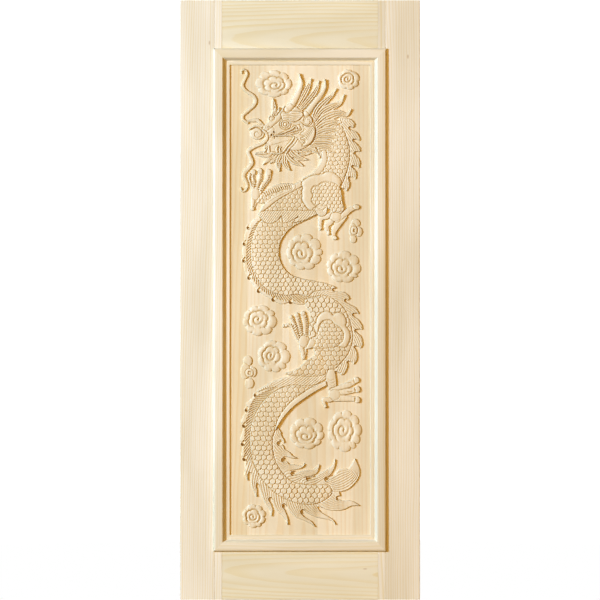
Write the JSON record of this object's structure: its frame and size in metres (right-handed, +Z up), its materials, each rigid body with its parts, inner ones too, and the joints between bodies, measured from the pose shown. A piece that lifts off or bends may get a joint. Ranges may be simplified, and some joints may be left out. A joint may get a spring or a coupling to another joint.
{
  "type": "carved wooden door leaf",
  "caption": "Tall pine door leaf with stiles and rails, raised mouldings and one long panel carved in relief with a dragon among clouds.",
  "frame": {"origin": "middle of the leaf's bottom edge, halfway through its thickness", "axes": "+Z up along the leaf's height, +X from the hinge stile to the lock stile, -Y out of the carved face, +Y out of the plain back"},
  "size_m": [0.8, 0.053, 2],
  "materials": {
    "pine_stave": "bare planed pine, grain upright",
    "pine_inner_stave": "bare planed pine, grain upright, a little darker",
    "pine_rail": "bare planed pine, grain level with arched figure",
    "pine_carved": "bare carved pine, sanded, grain upright",
    "pine_moulding_upright": "bare run pine moulding, grain upright",
    "pine_moulding_level": "bare run pine moulding, grain level",
    "beech_dowel": "plain turned beech"
  },
  "bodies": {
    "root": {"hinge_stile_outer_stave": "pine_stave", "hinge_stile_inner_stave": "pine_inner_stave", "lock_stile_outer_stave": "pine_stave", "lock_stile_inner_stave": "pine_inner_stave", "top_rail": "pine_rail", "bottom_rail": "pine_rail", "carved_panel": "pine_carved", "front_moulding_hinge_side": "pine_moulding_upright", "front_moulding_lock_side": "pine_moulding_upright", "front_moulding_top": "pine_moulding_level", "front_moulding_bottom": "pine_moulding_level", "back_moulding_hinge_side": "pine_moulding_upright", "back_moulding_lock_side": "pine_moulding_upright", "back_moulding_top": "pine_moulding_level", "back_moulding_bottom": "pine_moulding_level", "hinge_top_dowel_upper": "beech_dowel", "hinge_top_dowel_middle": "beech_dowel", "hinge_top_dowel_lower": "beech_dowel", "hinge_bottom_dowel_upper": "beech_dowel", "hinge_bottom_dowel_middle": "beech_dowel", "hinge_bottom_dowel_lower": "beech_dowel", "lock_top_dowel_upper": "beech_dowel", "lock_top_dowel_middle": "beech_dowel", "lock_top_dowel_lower": "beech_dowel", "lock_bottom_dowel_upper": "beech_dowel", "lock_bottom_dowel_middle": "beech_dowel", "lock_bottom_dowel_lower": "beech_dowel"}
  },
  "joints": []
}
